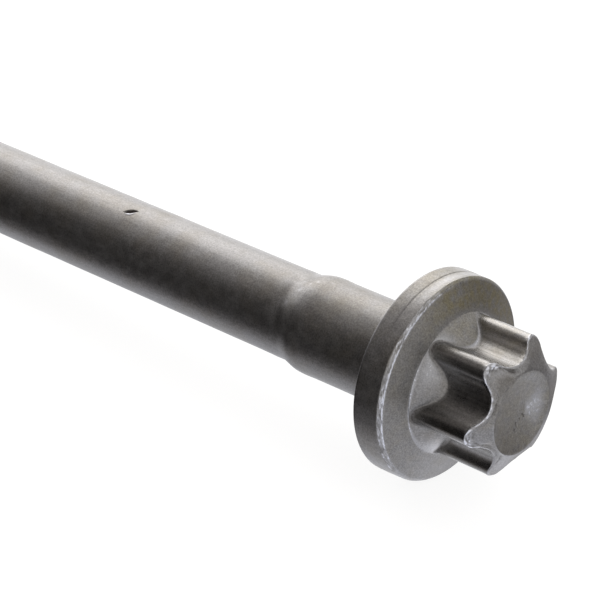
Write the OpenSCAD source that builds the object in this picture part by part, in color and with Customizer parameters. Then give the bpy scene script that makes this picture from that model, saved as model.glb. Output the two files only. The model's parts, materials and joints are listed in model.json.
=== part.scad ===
// Cylinder head bolt, forged and rolled in one piece: an external six-lobe drive,
// a washer flange, a guide collar, a reduced shank and a rolled thread.
// The bolt lies on its side, on the flange rim and on the thread end.
// Heights along the bolt are counted from the bearing face under the flange:
// the drive is above that face and the shank is below it.

/* [Drive] */
// Diameter over two opposite lobes
drive_d = 16.7; // [15.8:0.1:17.4]
// Diameter between two opposite valleys
valley_d = 12; // [11.6:0.05:12.6]
// Radius of the round crest of a lobe
lobe_r = 1.35; // [1.2:0.05:1.5]
// Height of the drive's end above the bearing face
drive_h = 14.4; // [12:0.1:18]
// Diameter of the dish in the drive's end
dish_d = 10.2; // [8:0.1:11]
// Depth of the dish
dish_depth = 0.55; // [0.2:0.05:1]
// Slope of the drive's end chamfer, in degrees
end_slope = 29; // [15:0.5:40]
// Turn of the lobes about the bolt's axis as it lies, in degrees, 0 with one straight down
drive_turn = 33; // [0:0.5:60]

/* [Flange] */
// Diameter of the flange
flange_d = 24.7; // [23:0.1:28]
// Height of the rim, bevels included
rim_h = 3.85; // [2.5:0.05:5]
// Width of the bevel on the rim's front edge, across the face
front_bevel_w = 0.4; // [0.2:0.05:0.6]
// Height of the same bevel, along the rim
front_bevel_h = 0.4; // [0.2:0.05:0.6]
// Size of the bevel on the rim's back edge
back_bevel = 0.2; // [0.1:0.05:0.4]
// Slope of the flange's front face, in degrees
face_slope = 16.5; // [5:0.5:22]
// How far the drive's steep foot stands out past the lobes
foot_margin = 0.15; // [0.1:0.05:0.8]
// Slope of that foot, in degrees
foot_slope = 46; // [30:0.5:55]

/* [Shank] */
// Length from the bearing face to the end of the thread
bolt_l = 150; // [120:1:220]
// How much wider than the thread the guide collar is, so that it passes the same hole
collar_over = 0.05; // [0.05:0.05:0.8]
// Length of the guide collar
collar_l = 15.3; // [8:0.1:25]
// Length of the taper from the collar to the shank
taper_l = 2.9; // [2:0.1:8]
// Diameter of the reduced shank
shank_d = 10.9; // [10:0.05:11.6]
// Radius of the fillet between the collar and the bearing face
head_fillet = 0.8; // [0.4:0.1:1.2]

/* [Thread] */
// Outer diameter of the thread
thread_d = 12; // [11.8:0.05:12.2]
// Length of the thread with its run-out
thread_l = 60; // [30:1:80]
// Pitch of the thread
pitch = 1.75; // [1.25:0.25:1.75]
// Pitches that the run-out takes to reach the full thread
run_out_turns = 1.2; // [1:0.1:3]
// How far the flat end point lies below the thread's root
point_under = 0.2; // [0.1:0.05:0.6]
// Slope of the end point's side, in degrees from the bolt's axis
point_slope = 45; // [30:1:60]

/* [Hidden] */

lobes = 6;
crest_steps = 12;
valley_steps = 8;
fillet_steps = 6;
taper_steps = 8;
ball_fn = 64;
round_fn = 96;
lap = 1;
// The metric thread's form: its depth and crest as shares of the pitch, and half its flanks' angle
root_depth_per_pitch = 0.6134;
crest_per_pitch = 0.125;
flank_angle = 30;
// How far the groove's cutter stands out of the crest, so that its tilt leaves no skin
groove_over = 0.12;
// Where in the run-out the groove ends, as a share of it from the full thread
groove_end = 0.4;

// The drive's valley arc, found from where it touches the crest arcs on both sides
drive_r = drive_d / 2;
crest_reach = drive_r - lobe_r;
half_lobe = 180 / lobes;
core_r = valley_d / 2;
valley_r = (pow(crest_reach, 2) + pow(core_r, 2) - pow(lobe_r, 2)
            - 2 * crest_reach * core_r * cos(half_lobe))
           / (2 * (lobe_r - core_r + crest_reach * cos(half_lobe)));
valley_x = (core_r + valley_r) * cos(half_lobe);
valley_y = (core_r + valley_r) * sin(half_lobe);
crest_span = atan2(valley_y, valley_x - crest_reach);
valley_span = crest_span - half_lobe;

// The head's radii and heights
flange_r = flange_d / 2;
face_r = flange_r - front_bevel_w;
foot_r = drive_r + foot_margin;
foot_h = rim_h + (face_r - foot_r) * tan(face_slope);
foot_top_r = core_r - lap;
foot_top_h = foot_h + (foot_r - foot_top_r) * tan(foot_slope);
dish_r = dish_d / 2;
dish_ball_r = (pow(dish_r, 2) + pow(dish_depth, 2)) / (2 * dish_depth);

// The shank's radii and heights
thread_r = thread_d / 2;
collar_r = thread_r + collar_over / 2;
shank_r = shank_d / 2;
root_depth = root_depth_per_pitch * pitch;
root_r = thread_r - root_depth;
point_r = root_r - point_under;
point_l = (thread_r - point_r) / tan(point_slope);
run_out_l = run_out_turns * pitch;
thread_start = thread_l - bolt_l;

// The thread's groove, in half turns. Each is half a ring, tilted so that it climbs half a
// pitch, which keeps within a twentieth of a pitch of the true helix. A crest ends on the
// lowest side of the full thread, where the bolt rests. In the last turn the root comes out.
half_root = pitch * (1 - crest_per_pitch) / 2 - root_depth * tan(flank_angle);
groove_tilt = asin(pitch / 4 / (thread_r - root_depth / 2));
groove_start = point_l - bolt_l + pitch * crest_per_pitch / 2 - pitch / 2;
half_turns = round((thread_start - run_out_l * (1 - groove_end) - groove_start) / (pitch / 2));
root_run = [root_r, (root_r + shank_r) / 2, thread_r];

// The tilt at rest, from the rim's back edge and the end of the full thread
rest_tilt = atan((flange_r - thread_r) / (bolt_l - point_l + back_bevel));
rest_height = flange_r * cos(rest_tilt) - back_bevel * sin(rest_tilt);
reach_head = drive_h * cos(rest_tilt) + dish_r * sin(rest_tilt);
reach_point = bolt_l * cos(rest_tilt) + point_r * sin(rest_tilt);

// Points along an arc about a centre
function arc(x, y, r, from, to, steps) =
    [for (i = [0:steps]) let (a = from + (to - from) * i / steps)
        [x + r * cos(a), y + r * sin(a)]];

// Half a wave from one radius to another, level at both ends
function wave(from_r, to_r, from_h, to_h, steps) =
    [for (i = [0:steps]) let (t = i / steps)
        [from_r + (to_r - from_r) * (1 - cos(180 * t)) / 2, from_h + (to_h - from_h) * t]];

// A point turned about the origin
function turned(p, a) = [p[0] * cos(a) - p[1] * sin(a), p[0] * sin(a) + p[1] * cos(a)];

// A list without its first and last point
function inner(points) = [for (i = [1:len(points) - 2]) points[i]];

// One lobe's crest arc and the valley arc that runs on from it, without a kink
function lobe_and_valley() = concat(
    arc(crest_reach, 0, lobe_r, -crest_span, crest_span, crest_steps),
    inner(arc(valley_x, valley_y, valley_r, 180 + half_lobe + valley_span,
              180 + half_lobe - valley_span, valley_steps)));

// The outline of the drive seen from its end
module drive_outline() {
    polygon([for (k = [0:lobes - 1], p = lobe_and_valley())
        turned(p, drive_turn + k * 2 * half_lobe)]);
}

// The lobed column, cut to its end chamfer
module lobed_column() {
    intersection() {
        translate([0, 0, foot_h - lap])
            linear_extrude(height = drive_h - foot_h + lap) drive_outline();
        rotate_extrude($fn = round_fn)
            polygon([[0, 0], [drive_d, 0], [drive_d, drive_h - (drive_d - dish_r) * tan(end_slope)],
                     [dish_r, drive_h], [0, drive_h]]);
    }
}

// The drive with the shallow round dish in its end
module drive() {
    color([0.42, 0.42, 0.41])
    difference() {
        lobed_column();
        translate([0, 0, drive_h - dish_depth + dish_ball_r])
            sphere(r = dish_ball_r, $fn = ball_fn);
    }
}

// The flange: bearing face, bevelled rim, sloping front face and the drive's steep foot
module flange() {
    color([0.40, 0.40, 0.39])
    rotate_extrude($fn = round_fn)
        polygon([[0, 0], [flange_r - back_bevel, 0], [flange_r, back_bevel],
                 [flange_r, rim_h - front_bevel_h], [face_r, rim_h],
                 [foot_r, foot_h], [foot_top_r, foot_top_h], [0, foot_top_h]]);
}

// The fillet under the flange, the guide collar, the taper and the reduced shank
module shank() {
    color([0.30, 0.29, 0.28])
    rotate_extrude($fn = round_fn)
        polygon(concat(
            [[0, lap], [collar_r + head_fillet, lap]],
            arc(collar_r + head_fillet, -head_fillet, head_fillet, 90, 180, fillet_steps),
            wave(collar_r, shank_r, -collar_l, -collar_l - taper_l, taper_steps),
            [[shank_r, thread_start - lap], [0, thread_start - lap]]));
}

// The threaded end's outer form, from the run-out to the end point
module thread_blank() {
    rotate_extrude($fn = round_fn)
        polygon([[0, thread_start], [shank_r, thread_start], [thread_r, thread_start - run_out_l],
                 [thread_r, point_l - bolt_l], [point_r, -bolt_l], [0, -bolt_l]]);
}

// Half a turn of the thread's groove, whose root runs from one radius to another
module half_groove(from_r, to_r) {
    mid_r = (from_r + to_r) / 2;
    mouth_r = thread_r + groove_over + (to_r - from_r) / 2;
    half_mouth = half_root + (mouth_r - mid_r) * tan(flank_angle);
    rotate([0, groove_tilt, 0]) translate([(from_r - to_r) / 2, 0, 0])
        rotate_extrude(angle = 180, $fn = round_fn)
            polygon([[mid_r, -half_root], [mouth_r, -half_mouth],
                     [mouth_r, half_mouth], [mid_r, half_root]]);
}

// The right-handed groove, from the end point up to the run-out
module thread_groove() {
    for (i = [-1:half_turns - 1])
        let (step = max(0, i - half_turns + 2), next = max(0, i - half_turns + 3))
            translate([0, 0, groove_start + (i + 0.5) * pitch / 2]) rotate([0, 0, 180 * i])
                half_groove(root_run[step], root_run[next]);
}

// The rolled thread
module thread_end() {
    color([0.34, 0.33, 0.32])
    difference() {
        thread_blank();
        thread_groove();
    }
}

// Lays the bolt down with its drive towards +X, and the rim and the thread end at height zero
module lying() {
    translate([(reach_point - reach_head) / 2, 0, rest_height])
        rotate([0, 90 - rest_tilt, 0]) children();
}

module head_bolt() {
    lying() union() {
        shank();
        thread_end();
        flange();
        drive();
    }
}

head_bolt();
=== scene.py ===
# %% [markdown]
# # A cylinder head bolt
#
# This lesson dresses one steel bolt that clamps a cylinder head to its engine block. The real
# bolt is a single piece: a bar is forged into a six-lobe drive with a washer flange, turned to
# a guide collar and a thinner shank, and the thread is rolled on at the end. It is a used
# bolt, with bruised edges, a burr round the flange and one nick in the shank.
#
# One piece of steel becomes one closed mesh. It is worked out as rows of points round the
# bolt's axis, so every form below is a radius and a height that depend on the angle. The
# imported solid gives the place, the direction and the main sizes.

# %% Load the frame
import json
import math

import bpy
import numpy as np
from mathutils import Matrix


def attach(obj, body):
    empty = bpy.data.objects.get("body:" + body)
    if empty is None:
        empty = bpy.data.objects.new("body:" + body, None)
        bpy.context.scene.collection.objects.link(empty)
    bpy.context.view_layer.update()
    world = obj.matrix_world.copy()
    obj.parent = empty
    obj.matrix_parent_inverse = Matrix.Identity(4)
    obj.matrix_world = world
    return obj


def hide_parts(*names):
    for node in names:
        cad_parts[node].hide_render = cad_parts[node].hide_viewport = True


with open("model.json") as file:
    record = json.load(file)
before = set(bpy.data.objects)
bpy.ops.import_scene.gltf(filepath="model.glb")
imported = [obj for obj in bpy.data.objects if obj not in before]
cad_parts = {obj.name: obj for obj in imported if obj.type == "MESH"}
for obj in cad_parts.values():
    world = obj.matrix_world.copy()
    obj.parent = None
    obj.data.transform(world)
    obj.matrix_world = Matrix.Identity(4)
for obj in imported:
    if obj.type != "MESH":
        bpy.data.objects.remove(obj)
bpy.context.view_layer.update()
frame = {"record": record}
mounts = {mount["name"]: mount for mount in frame["record"]["mounts"]}
print("mounts:", ", ".join(mounts))

# %% [markdown]
# ## The bolt's own axes
#
# The bolt lies on its flange rim and on its thread end, so its axis rises a little towards the
# drive. Everything is easier in the bolt's own directions: `height` runs along the axis from
# the bearing face under the flange, and the angle goes round it, 0 degrees pointing down and
# 90 degrees away from the camera. One function turns that into metres in the shared frame.

# %% Axes and placing
MM = 0.001
AXIS = np.array(mounts["drive"]["axis"]) / np.linalg.norm(mounts["drive"]["axis"])
SIDE = np.array([0.0, 1.0, 0.0])
DOWN = np.cross(SIDE, AXIS)
seat = np.array(mounts["bearing_face"]["pos_m"])
SEAT = seat - SIDE * (seat @ SIDE)
drive_h = float((np.array(mounts["drive"]["pos_m"]) - SEAT) @ AXIS) / MM
thread_r = mounts["thread"]["dims"]["r_mm"]
collar_r = mounts["guide_collar"]["dims"]["r_mm"]
tilt = math.atan2(AXIS[2], AXIS[0])


def place(points):
    """Points given as x, y and height in mm about the bolt's axis, in metres in the frame."""
    x, y, height = np.moveaxis(points, -1, 0)[..., None]
    return SEAT + MM * (x * DOWN + y * SIDE + height * AXIS)


def polar(radius, height, angle):
    """Rows of points at a radius, a height and an angle, as x, y and height."""
    radius, height, angle = np.broadcast_arrays(radius, height, angle)
    return np.stack([radius * np.cos(angle), radius * np.sin(angle), height], axis=-1)


def column(values):
    """A list of row values stood up as a column, so that it meets a row of angles."""
    return np.asarray(values, float)[:, None]


print("drive height %.2f mm, axis rises %.2f degrees" % (drive_h, math.degrees(tilt)))

# %% [markdown]
# ## The camera
#
# The photograph looks down on the bolt from the drive's side with a long lens. Place, turn and
# focal length come from fitting the outlines of shank, flange and drive, so the camera is
# given as a real distance from the flange.

# %% Camera
CAMERA_FROM_SEAT = (159.08, -198.77, 167.56)
CAMERA_AZIMUTH = 41.843
CAMERA_ELEVATION = 31.911
LENS = 159.995

camera_data = bpy.data.cameras.new("camera")
camera_data.lens = LENS
camera_data.sensor_width = 36.0
camera_data.clip_start = 0.01
camera = bpy.data.objects.new("camera", camera_data)
bpy.context.scene.collection.objects.link(camera)
camera.location = SEAT + MM * np.array(CAMERA_FROM_SEAT)
camera.rotation_euler = (math.radians(90 - CAMERA_ELEVATION), 0, math.radians(CAMERA_AZIMUTH))
bpy.context.scene.camera = camera
print("camera", [round(v, 4) for v in camera.location])

# %% [markdown]
# ## Irregularity
#
# Forged and used steel is never quite true. All bruises, waves and burrs here come from one
# smooth random function of the angle and of a second coordinate. It is a sum of waves whose
# number round the axis is whole, so it closes without a seam, and its random numbers come
# from a fixed seed.

# %% Smooth noise round the axis
def ripple(angle, along, turns, rate, seed, waves=9):
    """Sum of waves cos(k * angle + m * along + phase), k up to turns and m up to rate, in -1..1."""
    draw = np.random.default_rng(seed)
    total = 0.0
    for _ in range(waves):
        k = draw.integers(-turns, turns + 1)
        m = draw.uniform(-rate, rate)
        total = total + np.cos(k * angle + m * along + draw.uniform(0, 2 * np.pi))
    return total / math.sqrt(waves)


def near(angle, centre_deg, half_width_deg):
    """A bell round one angle: exp(-(difference / half width) squared), 1 at its centre."""
    away = (angle - math.radians(centre_deg) + np.pi) % (2 * np.pi) - np.pi
    return np.exp(-(away / math.radians(half_width_deg)) ** 2)


def smooth(low, high, value):
    """0 below low, 1 above high, and 3tt - 2ttt between them."""
    t = np.clip((value - low) / (high - low), 0, 1)
    return t * t * (3 - 2 * t)


# %% [markdown]
# ## The drive's outline
#
# A standard external six-lobe drive is made of arcs only: a small arc over each lobe's crest
# and a larger one in each valley, tangent to each other. The crest's radius and the two
# diameters settle the valley's arc. The points along this outline also set the angles of all
# rows of the head, so the lobes get many points and none is wasted.

# %% Outline of the drive
LOBES = 6
DRIVE_R = 8.35
CORE_R = 6.0
LOBE_R = 1.35
DRIVE_TURN = 32.8
CREST_POINTS = 28
VALLEY_POINTS = 36
HEAD_COLUMNS = LOBES * (CREST_POINTS + VALLEY_POINTS)


def drive_outline():
    """Crest arcs about a circle of centres and valley arcs tangent to both neighbours, as x, y."""
    reach = DRIVE_R - LOBE_R
    half = math.pi / LOBES
    valley_r = ((reach ** 2 + CORE_R ** 2 - LOBE_R ** 2 - 2 * reach * CORE_R * math.cos(half))
                / (2 * (LOBE_R - CORE_R + reach * math.cos(half))))
    valley_x, valley_y = (CORE_R + valley_r) * math.cos(half), (CORE_R + valley_r) * math.sin(half)
    span = math.atan2(valley_y, valley_x - reach)
    crest = np.linspace(-span, span, CREST_POINTS, endpoint=False)
    valley = np.linspace(math.pi + span, math.pi + 2 * half - span, VALLEY_POINTS, endpoint=False)
    x = np.concatenate([reach + LOBE_R * np.cos(crest), valley_x + valley_r * np.cos(valley)])
    y = np.concatenate([LOBE_R * np.sin(crest), valley_y + valley_r * np.sin(valley)])
    turn = math.radians(DRIVE_TURN) + np.arange(LOBES)[:, None] * 2 * half
    return np.stack([(x * np.cos(turn) - y * np.sin(turn)).ravel(),
                     (x * np.sin(turn) + y * np.cos(turn)).ravel()], axis=-1)


outline = drive_outline()
head_angle = np.unwrap(np.arctan2(outline[:, 1], outline[:, 0]))
outline_r = np.hypot(outline[:, 0], outline[:, 1])
FIRST_ANGLE = head_angle[0]
print("drive outline:", len(outline), "points, smallest step %.2f degrees"
      % math.degrees(np.diff(head_angle).min()))

# %% [markdown]
# ## Bands of rows
#
# The mesh is a stack of bands from the thread's end up to the dish in the drive. A band holds
# its points and four painted values for the finish. Three are shares of the surface: `bright`
# is steel rubbed or bruised bare, and in some places painted highlight, `dark` is a pit or a
# soiled corner, and in some places painted shade, and `film` is oil baked to an olive brown.
# The fourth, `polish`, is 1 where the forging die left the steel smooth and below 0 where it is
# duller than usual. Bands may differ in how many columns they have, by a factor of two, because
# a thread needs fewer than a lobed drive.

# %% Band helper
bands = []


def add_band(name, points, bright=0.0, dark=0.0, film=0.0, polish=0.0):
    """Keeps rows of points with their four finish values, spread over the rows' shape."""
    shape = points.shape[:2]
    values = [np.broadcast_to(value, shape).astype(float) for value in (bright, dark, film, polish)]
    bands.append((points, *values))
    print("%-12s %3d rows of %d" % (name, *shape))


# %% [markdown]
# ## The rolled thread
#
# The thread is M12 with a pitch of 1.75 mm. A row of the grid climbs one pitch in one turn, so
# each row stays on the crest, on a flank or in the root, and the edges come out clean. Rows
# that would leave the threaded length are held at its ends, where the surface is a plain
# chamfer or the plain shank, and the doubled points are merged later.

# %% Thread band
THREAD_COLUMNS = 96
PITCH = 1.75
THREAD_DEPTH = 0.6134 * PITCH
BOLT_L = 150.0
THREAD_TOP = -90.0
RUN_OUT = 2.1
POINT_R = thread_r - THREAD_DEPTH - 0.2
SHANK_R = 5.45
# Where the rows lie within one pitch, and how high each stands above the thread's root
THREAD_ROWS = np.array([0.045, 0.082, 0.375, 0.44, 0.56, 0.625, 0.918, 0.955])
THREAD_RISE = np.array([1.0, 0.945, 0.118, 0.02, 0.02, 0.118, 0.945, 1.0])
# Height of the groove's middle on the lowest side, one pitch before the full thread begins
CREST_FLAT = PITCH / 8
GROOVE_START = -BOLT_L + (thread_r - POINT_R) + CREST_FLAT / 2 - PITCH / 2


def thread_band():
    """Radius root + depth * rise, on rows whose height climbs by pitch * angle / full turn."""
    turns = math.ceil((BOLT_L + THREAD_TOP) / PITCH) + 3
    angle = FIRST_ANGLE + np.arange(THREAD_COLUMNS) * 2 * np.pi / THREAD_COLUMNS
    first = GROOVE_START - 1.5 * PITCH
    base = first + PITCH * (np.arange(turns)[:, None] + THREAD_ROWS).ravel()
    rise = np.tile(THREAD_RISE, turns)
    height = column(base) + PITCH * angle / (2 * np.pi)
    height = np.clip(height, -BOLT_L, THREAD_TOP)
    cut = thread_r - THREAD_DEPTH + THREAD_DEPTH * column(rise)
    cut = cut + 0.012 * ripple(angle, height, 9, 3.0, seed=3)
    full = smooth(THREAD_TOP, THREAD_TOP - RUN_OUT, height)
    radius = SHANK_R + (cut - SHANK_R) * full
    radius = np.minimum(radius, POINT_R + (height + BOLT_L))
    crest = smooth(0.8, 1.0, column(rise)) * full
    return polar(np.minimum(radius, thread_r), height, angle), 0.3 * crest, 0.2 * (1 - column(rise)) * full


tip_angle = FIRST_ANGLE + np.arange(THREAD_COLUMNS) * 2 * np.pi / THREAD_COLUMNS
tip_r = column([0.9, 1.9, 2.9, 3.7, 4.2, POINT_R])
tip_h = -BOLT_L + 0.25 * smooth(4.4, 2.4, tip_r)
add_band("thread end", polar(tip_r, tip_h, tip_angle), polish=-1.5)
add_band("thread", *thread_band())
THREAD_BAND = len(bands) - 1

# %% [markdown]
# ## The shank, the taper and the collar
#
# The shank is a drawn cylinder. Near the head it swells to the guide collar in a short wave,
# which ends in a faint bead. One nick was cut into the shank by a sharp edge. It is about
# 2 mm long, with a steep upper wall and a small lip below, so the columns are drawn together
# round its angle.

# %% Shank band
SHANK_COLUMNS = 192
NICK_ANGLE, NICK_HEIGHT = 190.0, -45.8
NICK_HALF_L, NICK_HALF_W, NICK_DEPTH = 1.0, 0.41, 0.25
NICK_SLANT = math.radians(33)
TAPER_FROM, TAPER_TO = -18.35, -15.45
HEAD_FILLET = 0.8


def crowded(columns, centre_deg, half_width_deg, strength):
    """Angles whose density is 1 + strength * bell, from the inverse of its running sum."""
    fine = FIRST_ANGLE + np.linspace(0, 2 * np.pi, 4001)
    density = 1 + strength * near(fine, centre_deg, half_width_deg)
    total = np.concatenate([[0], np.cumsum((density[1:] + density[:-1]) / 2)])
    return np.interp(np.arange(columns) / columns * total[-1], total, fine)


def nick(angle, height):
    """Depth of the nick, a lens along its slanted length, steep above and lipped below, and the shares of painted
    shade in its hollow and painted highlight on its lip.
    """
    round_mm = (math.radians(NICK_ANGLE) - angle) * SHANK_R
    along = (height - NICK_HEIGHT) * math.cos(NICK_SLANT) + round_mm * math.sin(NICK_SLANT)
    across = round_mm * math.cos(NICK_SLANT) - (height - NICK_HEIGHT) * math.sin(NICK_SLANT)
    lens = np.clip(1 - (along / NICK_HALF_L) ** 2, 0, 1)
    width = NICK_HALF_W * lens + 1e-6
    w = across / width
    hollow = np.where(np.abs(w) < 1, (1 - w * w) * (0.75 + 0.5 * w), 0) * np.sqrt(lens)
    lip = np.exp(-((w + 1.3) / 0.35) ** 2) * lens
    return -NICK_DEPTH * hollow + 0.05 * lip, np.clip(1.5 * hollow, 0, 1), lip


shank_rows = np.concatenate([
    np.linspace(THREAD_TOP, -49, 21, endpoint=False), np.linspace(-49, -47, 5, endpoint=False),
    np.linspace(-47, -44.6, 30, endpoint=False), np.linspace(-44.6, -42, 6, endpoint=False),
    np.linspace(-42, -20.4, 12, endpoint=False), np.linspace(-20.4, -13.2, 30, endpoint=False),
    np.linspace(-13.2, -HEAD_FILLET, 10, endpoint=False)])
even = FIRST_ANGLE + np.arange(SHANK_COLUMNS) * 2 * np.pi / SHANK_COLUMNS
drawn = crowded(SHANK_COLUMNS, NICK_ANGLE, 9, 5)
shank_h = column(shank_rows)
gather = smooth(-80, -55, shank_h) * smooth(-2, -30, shank_h)
shank_angle = even + (drawn - even) * gather
shank_r = SHANK_R + (collar_r - SHANK_R) * smooth(TAPER_FROM, TAPER_TO, shank_h)
shank_r = shank_r + 0.05 * np.exp(-((shank_h + 14.6) / 1.0) ** 2)
shank_r = shank_r + 0.03 * np.exp(-((shank_h + 19.4) / 0.9) ** 2)
calm = smooth(THREAD_TOP, THREAD_TOP + 4, shank_h)
shank_r = shank_r + 0.007 * calm * ripple(shank_angle, shank_h, 3, 0.8, seed=11)
# The nick's hollow is painted dark as its shade, and its lip painted bright as a highlight
cut, hollow, lip = nick(shank_angle, shank_h)
browned = smooth(-15.6, -14.4, shank_h) * (0.1 + 0.08 * ripple(shank_angle, shank_h, 4, 1.2, seed=12))
# Each painted highlight speck on the taper: its angle, its height, its radius in mm and how bright it is
PAINTED_GLINTS = [(183, -15.5, 0.22, 0.4), (190, -16.1, 0.16, 0.35), (202, -16.8, 0.25, 0.4), (187, -17.3, 0.16, 0.3),
          (222, -17.6, 0.25, 0.5), (176, -13.9, 0.18, 0.3)]
glints = sum(share * np.exp(-(((shank_angle - math.radians(a)) * collar_r) ** 2 + (shank_h - h) ** 2) / r ** 2)
             for a, h, r, share in PAINTED_GLINTS)
add_band("shank", polar(shank_r + cut, shank_h, shank_angle), bright=1.1 * lip + glints,
         dark=1.2 * hollow + 0.09 * smooth(-15.6, -14.4, shank_h),
         film=np.clip(browned, 0, 1))

fillet = column(np.linspace(np.pi, np.pi / 2, 7))
fillet_r = collar_r + HEAD_FILLET + HEAD_FILLET * np.cos(fillet)
fillet_h = -HEAD_FILLET + HEAD_FILLET * np.sin(fillet)
add_band("fillet", polar(fillet_r, fillet_h, even), dark=0.25, film=0.1)

# %% [markdown]
# ## The flange
#
# Under the flange is the bearing face, rubbed bright in rings where it turned against the
# cylinder head. The rim shows the crease where the two forging dies met, strong on top and
# fading to the left. Its front edge was bruised and now carries a ragged bright burr. The
# front face slopes up to a thin ridge, where the drive's foot starts.

# %% Flange band
FLANGE_R = 12.35
BACK_BEVEL = 0.2
RIM_H = 3.85
FRONT_BEVEL = 0.4
FACE_R = FLANGE_R - FRONT_BEVEL
FOOT_R = 8.5
FACE_SLOPE = math.radians(16.5)
FOOT_SLOPE = math.radians(46)
FOOT_H = RIM_H + (FACE_R - FOOT_R) * math.tan(FACE_SLOPE)
CREASE_H = 1.9

# Bearing face, from the fillet's end out to the back bevel
under_r = column([6.9, 7.3, 7.8, 8.4, 9.0, 9.6, 10.2, 10.8, 11.3, 11.7, 12.0, FLANGE_R - BACK_BEVEL])
even_head = FIRST_ANGLE + np.arange(HEAD_COLUMNS) * 2 * np.pi / HEAD_COLUMNS
under_angle = even_head + (head_angle - even_head) * smooth(7.0, 12.0, under_r)
under_h = 0.01 * (1 + np.cos(under_r * 9.0)) * smooth(7.2, 8.0, under_r) * smooth(12.1, 11.6, under_r)
rubbed = smooth(8.2, 8.8, under_r) * smooth(11.9, 11.5, under_r)
rubbed = rubbed * (0.75 + 0.25 * ripple(under_angle, under_r, 4, 6, seed=5))
add_band("bearing face", polar(under_r, under_h, under_angle), bright=0.7 * rubbed, polish=-1.5)

# Back bevel and rim, with the crease of the dies
back = column(np.linspace(-np.pi / 2, 0, 6)[1:])
back_r = FLANGE_R - BACK_BEVEL + BACK_BEVEL * np.cos(back)
back_h = BACK_BEVEL + BACK_BEVEL * np.sin(back)
# The back bevel is painted bright as edge highlights round 165 and 230 degrees, and painted dark as shade round 265
# degrees
add_band("back bevel", polar(back_r, back_h, head_angle), bright=0.25 * near(head_angle, 165, 35)
         + 0.55 * near(head_angle, 230, 14), dark=0.4 * near(head_angle, 265, 25))

rim_h = column([0.35, 0.6, 0.9, 1.2, 1.5, 1.68, 1.78, 1.84, 1.9, 1.96, 2.02, 2.12, 2.3, 2.6, 2.9,
                3.15, 3.32, RIM_H - FRONT_BEVEL])
crease = np.clip(near(head_angle, 172, 42) + 0.35 * near(head_angle, 318, 25)
                 + 0.2 * near(head_angle, 60, 60), 0, 1)
crease_h = CREASE_H + 0.05 * ripple(head_angle, 0, 3, 0, seed=8)
groove = np.exp(-((rim_h - crease_h) / 0.1) ** 2)
step = smooth(-0.1, 0.1, rim_h - crease_h)
rim_r = FLANGE_R - 0.024 * crease * groove - 0.035 * crease * step
rim_r = rim_r + 0.01 * ripple(head_angle, rim_h, 12, 1.5, seed=9)
# Painted highlight along the top of the rim in front of the crease, and painted shade in the crease's groove
rim_highlight = near(head_angle, 171, 24) * np.exp(-((rim_h - 2.75) / 0.5) ** 2)
add_band("rim", polar(np.minimum(rim_r, FLANGE_R + 0.02), rim_h, head_angle), bright=0.42 * rim_highlight,
         dark=0.3 * crease * groove, film=0.35 * near(head_angle, 160, 40))

# Front bevel with the burr, raised and ragged on the camera's left
burr_t = column(np.linspace(0, 1, 11)[1:])
burr = np.clip(near(head_angle, 246, 52) + 0.35 * near(head_angle, 200, 20), 0, 1)
browned_edge = near(head_angle, 178, 26)
bevel = FRONT_BEVEL + 0.13 * near(head_angle, 252, 45)
ragged = ripple(head_angle, burr_t, 70, 6, seed=21, waves=16) + ripple(head_angle, burr_t * 3, 170, 9, seed=22, waves=16)
torn = ripple(head_angle, 0, 150, 0, seed=23, waves=24)
swell = np.sin(np.pi * burr_t) * (0.05 + 0.04 * burr + 0.03 * burr * ragged)
burr_r = FLANGE_R - bevel * burr_t + swell * math.sqrt(0.5)
burr_h = RIM_H - FRONT_BEVEL + FRONT_BEVEL * burr_t + swell * math.sqrt(0.5)
burr_h = burr_h + 0.03 * burr * torn * smooth(0.6, 1.0, burr_t)
shine = burr * (0.5 + 0.8 * smooth(0.7, 0.9, burr_t) + 0.3 * ragged + 0.3 * torn * smooth(0.5, 0.1, burr_t))
shine = shine + near(head_angle, 292, 20) * (0.2 + 0.35 * ragged) * smooth(0.45, 0.2, burr_t)
shine = shine * smooth(0.0, 0.15, burr_t - 0.16 * np.clip(torn, 0, 1.5) * burr)
add_band("burr", polar(burr_r, burr_h, head_angle), bright=np.clip(shine, 0, 1.4),
         dark=0.25 * (burr + near(head_angle, 292, 20)) * np.clip(-ragged, 0, 1)
         + browned_edge * (0.3 + 0.3 * torn) * smooth(0.55, 0.8, burr_t) + 0.4 * near(head_angle, 115, 34),
         film=np.clip(0.5 * near(head_angle, 160, 30) + 0.5 * browned_edge, 0, 1))

# Front face, sloping up to the ridge at the foot
face_r = column([11.78, 11.68, 11.5, 11.2, 10.8, 10.4, 10.0, 9.6, 9.2, 8.9, 8.74, 8.64, 8.57])
face_h = RIM_H + (FACE_R - face_r) * math.tan(FACE_SLOPE)
face_h = face_h + 0.012 * ripple(head_angle, face_r, 3, 1.2, seed=14)
# The ridge is raised a little and painted bright as a highlight line on the camera's left
ridge = near(head_angle, 262, 42)
edge_line = smooth(11.6, 11.9, face_r) * burr
baked = np.clip(near(head_angle, 128, 42) + 0.6 * near(head_angle, 178, 24), 0, 1)
# The face is painted lighter at its lowest side, round 0 degrees, as a painted reflection
add_band("face", polar(face_r, face_h + 0.03 * ridge * np.exp(-((face_r - 8.57) / 0.08) ** 2), head_angle),
         bright=0.9 * ridge * np.exp(-((face_r - 8.55) / 0.06) ** 2) + 0.4 * edge_line
         + 0.2 * near(head_angle, 0, 35), film=np.clip(baked * smooth(8.6, 9.6, face_r) + 0.15, 0, 1))

# %% [markdown]
# ## The drive
#
# The lobes stand on a steep foot. Where the foot meets a wall, both run together in a small
# fillet, drawn as a curve with three control points. The walls go straight up to the end
# chamfer, whose edge the socket has bruised: two lobe tips and the valley between them are
# swollen and bright. The chamfer ends at a shallow round dish.

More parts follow.
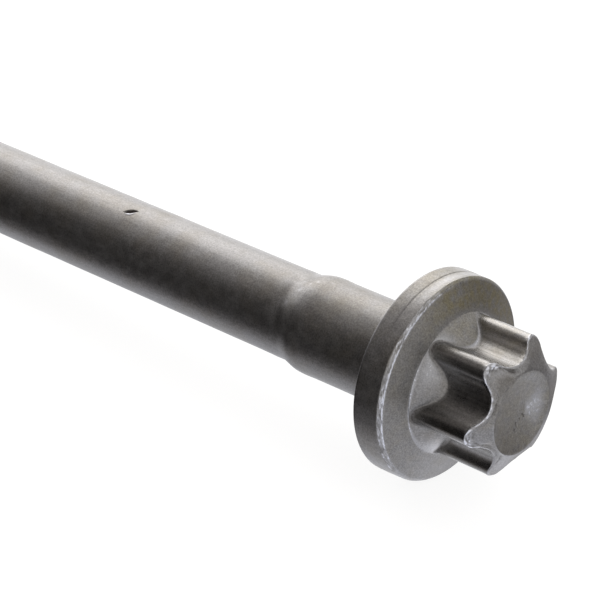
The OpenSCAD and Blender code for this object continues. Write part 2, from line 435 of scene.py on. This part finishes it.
# %% Drive bands
STAR_SHIFT = np.array([0.047, 0.278])
DISH_SHIFT = np.array([0.009, -0.30])
DISH_R = 5.05
DISH_DEPTH = 0.55
END_SLOPE = math.radians(29)
FOOT_FILLET = 0.38

star = outline + STAR_SHIFT
wall_foot_h = FOOT_H + (FOOT_R - outline_r) * math.tan(FOOT_SLOPE)
wall_top_h = drive_h - (outline_r - DISH_R) * math.tan(END_SLOPE)
foot_circle = polar(FOOT_R, FOOT_H, head_angle)
corner = np.concatenate([star, wall_foot_h[:, None]], axis=1)
foot_run = np.linalg.norm(corner - foot_circle, axis=1, keepdims=True)
fillet_in = np.minimum(FOOT_FILLET, 0.8 * foot_run)
from_foot = corner + (foot_circle - corner) / foot_run * fillet_in
up_wall = corner + np.array([0, 0, 1.0]) * FOOT_FILLET

foot_t = np.linspace(0, 1, 9)[:, None, None]
ramp = foot_circle + (from_foot - foot_circle) * foot_t
# Painted shade at the roots of the lobes, and painted highlights on the foot between them and along the ridge
root_shade = near(head_angle, 212.8, 12) + near(head_angle, 274, 16) + near(head_angle, 333, 14)
foot_highlights = (0.55 * near(head_angle, 230, 15) + 0.5 * near(head_angle, 204, 9)
            + 0.3 * near(head_angle, 320, 14))
add_band("foot", ramp, bright=0.9 * ridge * np.exp(-(foot_t[..., 0] / 0.05) ** 2)
         + foot_highlights * np.sin(np.pi * foot_t[..., 0]), dark=0.6 * root_shade * smooth(0.6, 1, foot_t[..., 0]),
         film=0.4 * near(head_angle, 180, 25))

bend = np.linspace(0, 1, 7)[1:, None, None]
foot_curve = (1 - bend) ** 2 * from_foot + 2 * bend * (1 - bend) * corner + bend ** 2 * up_wall
# The fillet is painted with a highlight line round 178 degrees, and with shade all round that is deepest at the lobes'
# roots
add_band("foot fillet", foot_curve, bright=0.85 * near(head_angle, 178, 15) * np.exp(-((bend[..., 0] - 0.4) / 0.28) ** 2),
         dark=0.1 + 0.8 * root_shade * np.sin(np.pi * bend[..., 0]) + 0.5 * near(head_angle, 330, 9))

# %% [markdown]
# ## The bruised end edge
#
# `bruise` says how hard each angle was hit. It swells the last half millimetre of wall
# outwards, lifts the edge into a ragged lip and lets the bright finish spread inwards over the
# chamfer.

# %% Walls, lip, chamfer and dish
EDGE_SOFT = 0.16
bruise = np.clip(near(head_angle, 212.8, 14) + near(head_angle, 272.8, 13) + 0.75 * near(head_angle, 243, 22)
                 + 0.35 * near(head_angle, 332.8, 14) + 0.5 * near(head_angle, 165, 20) + 0.12, 0, 1)
outward = np.stack([np.roll(star[:, 1], -1) - np.roll(star[:, 1], 1),
                    np.roll(star[:, 0], 1) - np.roll(star[:, 0], -1)], axis=1)
outward = outward / np.linalg.norm(outward, axis=1, keepdims=True)
chip = ripple(head_angle, 0, 70, 0, seed=31, waves=18)
edge_h = wall_top_h - EDGE_SOFT + 0.07 * bruise * chip

wall_t = np.array([0.04, 0.12, 0.25, 0.4, 0.55, 0.7, 0.82, 0.9, 0.95, 0.98, 1.0])[:, None]
wall_h = up_wall[:, 2] + (edge_h - up_wall[:, 2]) * wall_t
flare = bruise * (0.07 + 0.05 * chip) * np.exp(-((edge_h - wall_h) / 0.22) ** 2)
wall = np.concatenate([star + outward * flare[..., None], wall_h[..., None]], axis=2)
streak = ripple(head_angle, wall_h, 110, 0.12, seed=36, waves=30)
# The wall round 268 degrees, under a lobe, is painted darker as shade
add_band("walls", wall, bright=0.6 * bruise * np.exp(-((edge_h - wall_h) / 0.12) ** 2) + 0.16 * np.clip(streak, 0, 1),
         dark=0.3 * np.clip(-streak, 0, 1.2) + 0.2 * near(head_angle, 268, 14),
         film=0.1 + 0.3 * near(head_angle, 150, 24), polish=0.85)

inward = (DISH_SHIFT - star) / np.linalg.norm(DISH_SHIFT - star, axis=1, keepdims=True)
dish_edge = polar(DISH_R, drive_h, head_angle) + np.array([*DISH_SHIFT, 0])
to_dish = np.linalg.norm(dish_edge[:, :2] - star, axis=1)
lip_in = np.array([0.02, 0.07, 0.14, 0.24, 0.38, 0.55, 0.8])[:, None] * np.clip(0.85 * to_dish, 0, 1)
lip_xy = star + outward * (0.07 * bruise * np.exp(-(lip_in / 0.1) ** 2))[..., None] + inward * lip_in[..., None]
rough_lip = ripple(head_angle, lip_in * 2, 105, 16, seed=33, waves=24)
lip_h = wall_top_h + lip_in * math.tan(END_SLOPE) - EDGE_SOFT * np.exp(-lip_in / 0.06)
lip_h = lip_h + bruise * (0.05 + 0.05 * rough_lip) * np.exp(-((lip_in - 0.16) / 0.2) ** 2)
struck = np.clip(near(head_angle, 208, 11) + 0.8 * near(head_angle, 277, 10), 0, 1)
lip_h = lip_h + 0.035 * struck * rough_lip * smooth(0.1, 0.2, lip_in) * smooth(0.8, 0.6, lip_in)
edge_shine = (1.25 + 0.7 * rough_lip) * np.exp(-(lip_in / 0.11) ** 2)
struck_shine = struck * (0.5 + 0.95 * rough_lip) * smooth(0.9, 0.3, lip_in)
lip_bright = np.clip(bruise * np.maximum(edge_shine, struck_shine), 0, 1.4)
add_band("lip", np.concatenate([lip_xy, lip_h[..., None]], axis=2), bright=lip_bright,
         dark=0.6 * struck * np.clip(-rough_lip, 0, 1) * smooth(0.05, 0.2, lip_in)
         + 0.85 * near(head_angle, 196, 5) * smooth(0.1, 0.2, lip_in) * smooth(0.8, 0.5, lip_in))

lip_end = np.concatenate([lip_xy[-1], lip_h[-1][:, None]], axis=1)
chamfer_t = np.linspace(0, 1, 9)[1:, None, None]
chamfer = lip_end + (dish_edge - lip_end) * chamfer_t
chamfer[..., 2] += 0.015 * ripple(head_angle, chamfer_t[..., 0] * 2, 5, 2, seed=35) * np.sin(np.pi * chamfer_t[..., 0])
# The chamfer is painted lighter at its lowest side, round 22 degrees, as a painted reflection, and darker towards the
# top as painted shade
add_band("end chamfer", chamfer, bright=0.45 * near(head_angle, 305, 35) * smooth(0.85, 1, chamfer_t[..., 0])
         + 0.22 * near(head_angle, 22, 38)
         + 0.3 * struck * smooth(0.6, 0, chamfer_t[..., 0]), 
         dark=0.38 * near(head_angle, 183, 44) * smooth(0.1, 0.7, chamfer_t[..., 0])
         + 0.22 * near(head_angle, 95, 36))

dish_share = column([0.985, 0.96, 0.92, 0.85, 0.76, 0.66, 0.57, 0.5, *np.linspace(0.46, 0.18, 15), 0.12, 0.06])
crisp = near(head_angle, 300, 60)
dish_h = drive_h - DISH_DEPTH * (1 - dish_share ** 2) * smooth(1.0, 0.8 + 0.15 * crisp, dish_share)
dish = polar(DISH_R * dish_share, dish_h, head_angle) + np.array([*DISH_SHIFT, 0])
# A brushed patch round 82 degrees is painted bright as a highlight, and the top round 160 degrees is painted a little
# lighter as a painted highlight
brushed_highlight = near(head_angle, 82, 36) * smooth(0.2, 0.32, dish_share) * smooth(0.98, 0.6, dish_share)
# Each pit: its place across the dish as x and y in mm, and its radius
PITS = [(1.0, 1.05, 0.15), (0.7, 0.8, 0.12), (1.3, -0.4, 0.14), (1.7, -0.3, 0.11), (2.05, -0.65, 0.14),
        (1.05, 0.3, 0.11)]
pitted = sum(np.exp(-((dish[..., 0] - DISH_SHIFT[0] - x) ** 2 + (dish[..., 1] - DISH_SHIFT[1] - y) ** 2) / r ** 2)
             for x, y, r in PITS)
dish[..., 2] -= 0.09 * pitted
rough_dish = ripple(head_angle, dish_share * 9, 40, 4, seed=37, waves=20)
add_band("dish", dish, bright=np.clip(brushed_highlight * (0.64 + 0.16 * rough_dish), 0, 1) + 0.12 * near(head_angle, 160, 45),
         dark=np.clip(0.9 * pitted + 0.1 + 0.1 * rough_dish, 0, 1), film=0.35)

# %% [markdown]
# ## One closed mesh
#
# Neighbouring rows become squares. Where the number of columns doubles, each step of the
# coarse row meets two of the fine one. The thread is the exception: its last column meets the
# first one a whole pitch further up. A single point closes each end.

# %% Faces from the bands
def join_rows(low, high):
    """Faces between two rows of point numbers, as squares, or as a square and a triangle each."""
    low_next = np.roll(low, -1)
    if len(high) == len(low):
        return [np.stack([low, low_next, np.roll(high, -1), high], axis=1)]
    even_high, odd_high = high[0::2], high[1::2]
    return [np.stack([low, low_next, np.roll(even_high, -1), odd_high], axis=1),
            np.stack([low, odd_high, even_high], axis=1)]


def climb_rows(numbers, shift):
    """Squares of a helical band, whose last column meets the first one shift rows higher."""
    inner = np.stack([numbers[:-1, :-1], numbers[:-1, 1:], numbers[1:, 1:], numbers[1:, :-1]], axis=-1)
    seam = np.stack([numbers[:-1 - shift, -1], numbers[shift:-1, 0], numbers[shift + 1:, 0],
                     numbers[1:-shift, -1]], axis=-1)
    return [inner.reshape(-1, 4), seam]


def build_faces(ends):
    """All faces of the bolt: rows within bands, joints between bands, and the two end fans."""
    faces, start, last_row = [], 0, None
    for index, (points, *_) in enumerate(bands):
        numbers = start + np.arange(points.shape[0] * points.shape[1]).reshape(points.shape[:2])
        start += numbers.size
        if last_row is not None:
            faces += join_rows(last_row, numbers[0])
        if index == THREAD_BAND:
            faces += climb_rows(numbers, len(THREAD_ROWS))
        else:
            for low, high in zip(numbers[:-1], numbers[1:]):
                faces += join_rows(low, high)
        last_row = numbers[-1]
    first_row = np.arange(bands[0][0].shape[1])
    faces.append(np.stack([np.full_like(first_row, ends[0]), np.roll(first_row, -1), first_row], axis=1))
    faces.append(np.stack([last_row, np.roll(last_row, -1), np.full_like(last_row, ends[1])], axis=1))
    return faces


flat_points = np.concatenate([points.reshape(-1, 3) for points, *_ in bands])
end_points = np.array([[0, 0, -BOLT_L + 0.25], [*DISH_SHIFT, drive_h - DISH_DEPTH]])
all_points = place(np.concatenate([flat_points, end_points]))
face_lists = build_faces((len(flat_points), len(flat_points) + 1))

mesh = bpy.data.meshes.new("head_bolt_steel")
mesh.from_pydata(all_points.tolist(), [], [face for part in face_lists for face in part.tolist()])
for name, place_in_band in (("bright", 1), ("dark", 2), ("film", 3), ("polish", 4)):
    painted = np.concatenate([band[place_in_band].ravel() for band in bands] + [np.zeros(2)])
    mesh.attributes.new(name, "FLOAT", "POINT").data.foreach_set("value", painted.astype(np.float32))
bolt = bpy.data.objects.new("head_bolt_steel", mesh)
bpy.context.scene.collection.objects.link(bolt)

# %% [markdown]
# ## Merge and shade
#
# The held rows of the thread left points on top of each other. They are merged, and faces
# that shrank to nothing go with them. Edges sharper than 40 degrees stay crisp.

# %% Merge doubles and set the shading
import bmesh

work = bmesh.new()
work.from_mesh(mesh)
bmesh.ops.remove_doubles(work, verts=work.verts, dist=2e-6)
bmesh.ops.dissolve_degenerate(work, edges=work.edges, dist=1e-6)
open_edges = sum(1 for edge in work.edges if len(edge.link_faces) != 2)
work.to_mesh(mesh)
work.free()
mesh.shade_smooth()
mesh.set_sharp_from_angle(angle=math.radians(40))
triangles = sum(len(face.vertices) - 2 for face in mesh.polygons)
print("bolt:", triangles, "triangles,", open_edges, "open edges")

# %% [markdown]
# ## Phosphated steel
#
# The bolt is alloy steel with a zinc or manganese phosphate coat, oiled: a dark grey, finely
# crystalline skin that still reflects like metal. Handling and heat left brown clouds in it,
# and the socket and the cylinder head rubbed it bare at the edges. The eye reads a soft, dark
# mirror with a fine grain, lengthwise streaks from drawing, and small bare or dark chips.

# %% Colour and node helpers
def linear(hex_colour):
    """An sRGB hex colour as linear red, green, blue and alpha."""
    parts = [int(hex_colour[i:i + 2], 16) / 255 for i in (1, 3, 5)]
    return tuple(p / 12.92 if p <= 0.04045 else ((p + 0.055) / 1.055) ** 2.4 for p in parts) + (1.0,)


def add_node(tree, kind, links=None, **settings):
    """Adds a node, sets its fields or sockets by name, and links sockets given as outputs."""
    node = tree.nodes.new(kind)
    for name, value in settings.items():
        setattr(node, name, value)
    for socket, value in (links or {}).items():
        if isinstance(value, bpy.types.NodeSocket):
            tree.links.new(value, node.inputs[socket])
        else:
            node.inputs[socket].default_value = value
    return node


def per_mm(size_mm):
    """A noise scale, in repeats a metre, for a pattern of this size in mm."""
    return 1.0 / (size_mm * MM)


# %% Material
# The coat's crystals are some hundredths of a millimetre, too fine to show, so the grain is coarser
CLOUDS_MM, MOTTLE_MM, GRAIN_MM, STREAK_MM, CHIP_MM = 4.0, 1.1, 0.19, 0.45, 0.3
STREAK_STRETCH = 0.07
POLISH_GAIN, RUBBED_ROUGH = 0.15, 0.3


def phosphated_steel():
    """Metal whose colour is a grey coat, clouded brown, with bare and soiled chips, painted highlights and painted
    shade mixed in.
    """
    material = bpy.data.materials.new("phosphated_steel")
    material.use_nodes = True
    tree = material.node_tree
    shader = tree.nodes["Principled BSDF"]
    shader.inputs["Metallic"].default_value = 1.0
    spot = add_node(tree, "ShaderNodeTexCoord").outputs["Object"]
    along = add_node(tree, "ShaderNodeMapping", {"Vector": spot, "Rotation": (0, tilt, 0)}).outputs["Vector"]
    drawn = add_node(tree, "ShaderNodeMapping", {"Vector": along, "Scale": (STREAK_STRETCH, 1, 1)}).outputs["Vector"]
    bright, dark, film, polish = (add_node(tree, "ShaderNodeAttribute", attribute_name=name).outputs["Fac"]
                                  for name in ("bright", "dark", "film", "polish"))

    clouds, mottle, grain, streaks, chips, pits = (
        add_node(tree, "ShaderNodeTexNoise", {"Vector": where, "Scale": per_mm(size), "Detail": detail,
                                              "Roughness": 0.6}).outputs["Fac"]
        for where, size, detail in ((along, CLOUDS_MM, 5.0), (along, MOTTLE_MM, 3.0), (along, GRAIN_MM, 2.0),
                                    (drawn, STREAK_MM, 2.0), (along, CHIP_MM, 2.0), (spot, CHIP_MM, 1.0)))

    # The coat: grey with brown clouds, and an olive brown where the oil film is
    cloud_mask = add_node(tree, "ShaderNodeMapRange", {"Value": clouds, "From Min": 0.45, "From Max": 0.7})
    coat = add_node(tree, "ShaderNodeMix", {"Factor": cloud_mask.outputs["Result"],
                                            6: linear("#828181"), 7: linear("#7c7975")},
                    data_type="RGBA").outputs[2]
    film_share = add_node(tree, "ShaderNodeMapRange", {"Value": mottle, "From Min": 0.25, "From Max": 0.6,
                                                       "To Max": film}).outputs["Result"]
    oiled = add_node(tree, "ShaderNodeMix", {"Factor": film_share, 6: coat, 7: linear("#77715d")},
                     data_type="RGBA").outputs[2]

    # Tone: 1 on the average, moved up and down by the three finer patterns
    tone = 1.0
    for pattern, low, high in ((grain, 0.74, 1.26), (mottle, 0.92, 1.08), (streaks, 0.93, 1.07)):
        share = add_node(tree, "ShaderNodeMapRange", {"Value": pattern, "From Min": 0.3, "From Max": 0.7,
                                                      "To Min": low, "To Max": high}).outputs["Result"]
        tone = add_node(tree, "ShaderNodeMath", {0: tone, 1: share}, operation="MULTIPLY").outputs["Value"]
    toned = add_node(tree, "ShaderNodeVectorMath", {0: oiled, "Scale": tone}, operation="SCALE").outputs["Vector"]

    # A small share gives a soft tint only, and a large one also ragged chips
    masks = []
    for pattern, share, tint, ragged_part in ((chips, bright, 0.5, 0.6), (pits, dark, 0.8, 0.15)):
        spread = add_node(tree, "ShaderNodeMapRange", {"Value": pattern, "From Min": 0.28, "From Max": 0.72})
        above = add_node(tree, "ShaderNodeMath", {0: spread.outputs["Result"], 1: share}, operation="ADD")
        ragged = add_node(tree, "ShaderNodeMapRange", {"Value": above.outputs["Value"], "From Min": 1.2,
                                                       "From Max": 1.6, "To Max": ragged_part}).outputs["Result"]
        masks.append(add_node(tree, "ShaderNodeMath", {0: share, 1: tint, 2: ragged}, operation="MULTIPLY_ADD",
                              use_clamp=True).outputs["Value"])
    # The bright share mixes in bare steel and painted highlights, the dark share soil and painted shade
    bare_and_highlit = add_node(tree, "ShaderNodeMix", {"Factor": masks[0], 6: toned, 7: linear("#ced0d8")},
                     data_type="RGBA").outputs[2]
    soiled_and_shaded = add_node(tree, "ShaderNodeMix", {"Factor": masks[1], 6: bare_and_highlit, 7: linear("#2f2b29")},
                      data_type="RGBA").outputs[2]
    tree.links.new(soiled_and_shaded, shader.inputs["Base Color"])

    rough = add_node(tree, "ShaderNodeMapRange", {"Value": mottle, "From Min": 0.3, "From Max": 0.7,
                                                  "To Min": 0.38, "To Max": 0.45}).outputs["Result"]
    polished = add_node(tree, "ShaderNodeMath", {0: polish, 1: -POLISH_GAIN, 2: rough},
                        operation="MULTIPLY_ADD").outputs["Value"]
    rubbed_rough = add_node(tree, "ShaderNodeMix", {"Factor": masks[0], 2: polished, 3: RUBBED_ROUGH},
                            data_type="FLOAT").outputs[0]
    tree.links.new(rubbed_rough, shader.inputs["Roughness"])
    relief = add_node(tree, "ShaderNodeMath", {0: grain, 1: masks[0]}, operation="ADD").outputs["Value"]
    bump = add_node(tree, "ShaderNodeBump", {"Strength": 0.25, "Distance": 0.02 * MM, "Height": relief})
    tree.links.new(bump.outputs["Normal"], shader.inputs["Normal"])
    return material


mesh.materials.append(phosphated_steel())
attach(bolt, "root")
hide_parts("head_bolt")

# %% [markdown]
# ## Floor and room
#
# A white sheet carries the bolt. Steel shows whatever surrounds it, so the room is arranged as
# in a studio: white on all sides, a large softbox behind and to the left, and dark flags where
# the steel in the photograph is dark. The room is described by directions seen from the bolt,
# because its walls are far away compared with the bolt's size.

# %% Floor
FLOOR_HALF = 3.0
FLOOR_GLOW = 0.86


def seen_directly(tree):
    """1 for rays from the camera, from a mirror or through glass, else 0."""
    path = add_node(tree, "ShaderNodeLightPath")
    mirrored = add_node(tree, "ShaderNodeMath", {0: path.outputs["Is Camera Ray"],
                                                 1: path.outputs["Is Glossy Ray"]}, operation="MAXIMUM")
    both = add_node(tree, "ShaderNodeMath", {0: mirrored.outputs["Value"],
                                             1: path.outputs["Is Transmission Ray"]}, operation="MAXIMUM")
    return both.outputs["Value"]


floor_mesh = bpy.data.meshes.new("floor")
floor_mesh.from_pydata([(x * FLOOR_HALF, y * FLOOR_HALF, 0) for x, y in ((-1, -1), (1, -1), (1, 1), (-1, 1))],
                       [], [(0, 1, 2, 3)])
floor = bpy.data.objects.new("floor", floor_mesh)
bpy.context.scene.collection.objects.link(floor)
paper = bpy.data.materials.new("white paper")
paper.use_nodes = True
paper_shader = paper.node_tree.nodes["Principled BSDF"]
# Part of the white is real light on the paper, which the bolt's shadow takes away
paper_shader.inputs["Base Color"].default_value = linear("#8a8a8a")
paper_shader.inputs["Roughness"].default_value = 1.0
paper_shader.inputs["Specular IOR Level"].default_value = 0.0
paper_shader.inputs["Emission Color"].default_value = linear("#ffffff")
paper_glow = add_node(paper.node_tree, "ShaderNodeMath", {0: seen_directly(paper.node_tree), 1: FLOOR_GLOW},
                      operation="MULTIPLY")
paper.node_tree.links.new(paper_glow.outputs["Value"], paper_shader.inputs["Emission Strength"])
floor_mesh.materials.append(paper)
floor.visible_glossy = False

# %% Room with its patches
# Each patch: azimuth and elevation of its middle, the angles at which its edge starts and ends
# to fade, all in degrees, and how bright it is beside the room's white. The comment says which
# surfaces show it to the camera.
PATCHES = [
    (-135, 60, 17, 42, 0.4),   # grey, in the shank's upper front
    (-138, -3, 30, 54, 0.03),  # dark panel, in the shank's, the collar's and the rim's front
    (98, -38, 8, 30, 0.45),    # grey, in the far and lower side of the flange's face
    (56, -12, 6, 20, 0.15),    # dark, in the top of that face and of the end chamfer
    (95, -68, 10, 35, 2.0),    # bright, in the lower slopes of foot and chamfer
    (122, -16, 15, 34, 2.0),   # bright, in the upper far side of shank, rim and lobes
    (-174, 16, 22, 37, 2.0),   # bright, in the taper
]


def towards(azimuth, elevation):
    """The direction at an azimuth from +X towards +Y and an elevation, both in degrees."""
    a, e = math.radians(azimuth), math.radians(elevation)
    return (math.cos(e) * math.cos(a), math.cos(e) * math.sin(a), math.sin(e))


world = bpy.data.worlds.new("studio room")
bpy.context.scene.world = world
world.use_nodes = True
room = world.node_tree
look = add_node(room, "ShaderNodeTexCoord").outputs["Generated"]
white = 1.0
for azimuth, elevation, inner, outer, share in PATCHES:
    cosine = add_node(room, "ShaderNodeVectorMath", {0: look, 1: towards(azimuth, elevation)},
                      operation="DOT_PRODUCT").outputs["Value"]
    left = add_node(room, "ShaderNodeMapRange", {"Value": cosine, "From Min": math.cos(math.radians(outer)),
                                                 "From Max": math.cos(math.radians(inner)),
                                                 "To Min": 1.0, "To Max": share},
                    interpolation_type="SMOOTHSTEP").outputs["Result"]
    white = add_node(room, "ShaderNodeMath", {0: white, 1: left}, operation="MULTIPLY").outputs["Value"]
camera_ray = add_node(room, "ShaderNodeLightPath").outputs["Is Camera Ray"]
strength = add_node(room, "ShaderNodeMath", {0: white, 1: camera_ray}, operation="MAXIMUM").outputs["Value"]
up = add_node(room, "ShaderNodeSeparateXYZ", {"Vector": look}).outputs["Z"]
above = add_node(room, "ShaderNodeMapRange", {"Value": up, "From Min": -0.5, "From Max": 0.2}).outputs["Result"]
walls = add_node(room, "ShaderNodeMix", {"Factor": above, 6: linear("#f8f9ff"), 7: linear("#fffdfb")},
                 data_type="RGBA").outputs[2]
dim = add_node(room, "ShaderNodeMix", {"Factor": white, 6: linear("#fff4ef"), 7: walls},
               data_type="RGBA").outputs[2]
seen = add_node(room, "ShaderNodeMix", {"Factor": camera_ray, 6: dim, 7: linear("#ffffff")},
                data_type="RGBA").outputs[2]
room.links.new(seen, room.nodes["Background"].inputs["Color"])
room.links.new(strength, room.nodes["Background"].inputs["Strength"])

# %% Softbox
SOFTBOX_AWAY = 1.5
SOFTBOX_SIDE = 1.1
SOFTBOX_POWER = 9.2
softbox_data = bpy.data.lights.new("softbox", "AREA")
softbox_data.shape = "SQUARE"
softbox_data.size = SOFTBOX_SIDE
softbox_data.energy = SOFTBOX_POWER
softbox_data.color = linear("#fffcf9")[:3]
softbox = bpy.data.objects.new("softbox", softbox_data)
bpy.context.scene.collection.objects.link(softbox)
SOFTBOX_AZIMUTH, SOFTBOX_ELEVATION = 137, 34
softbox.location = SOFTBOX_AWAY * np.array(towards(SOFTBOX_AZIMUTH, SOFTBOX_ELEVATION))
softbox.rotation_euler = (math.radians(90 - SOFTBOX_ELEVATION), 0, math.radians(SOFTBOX_AZIMUTH + 90))
bpy.context.scene.view_settings.view_transform = "Standard"
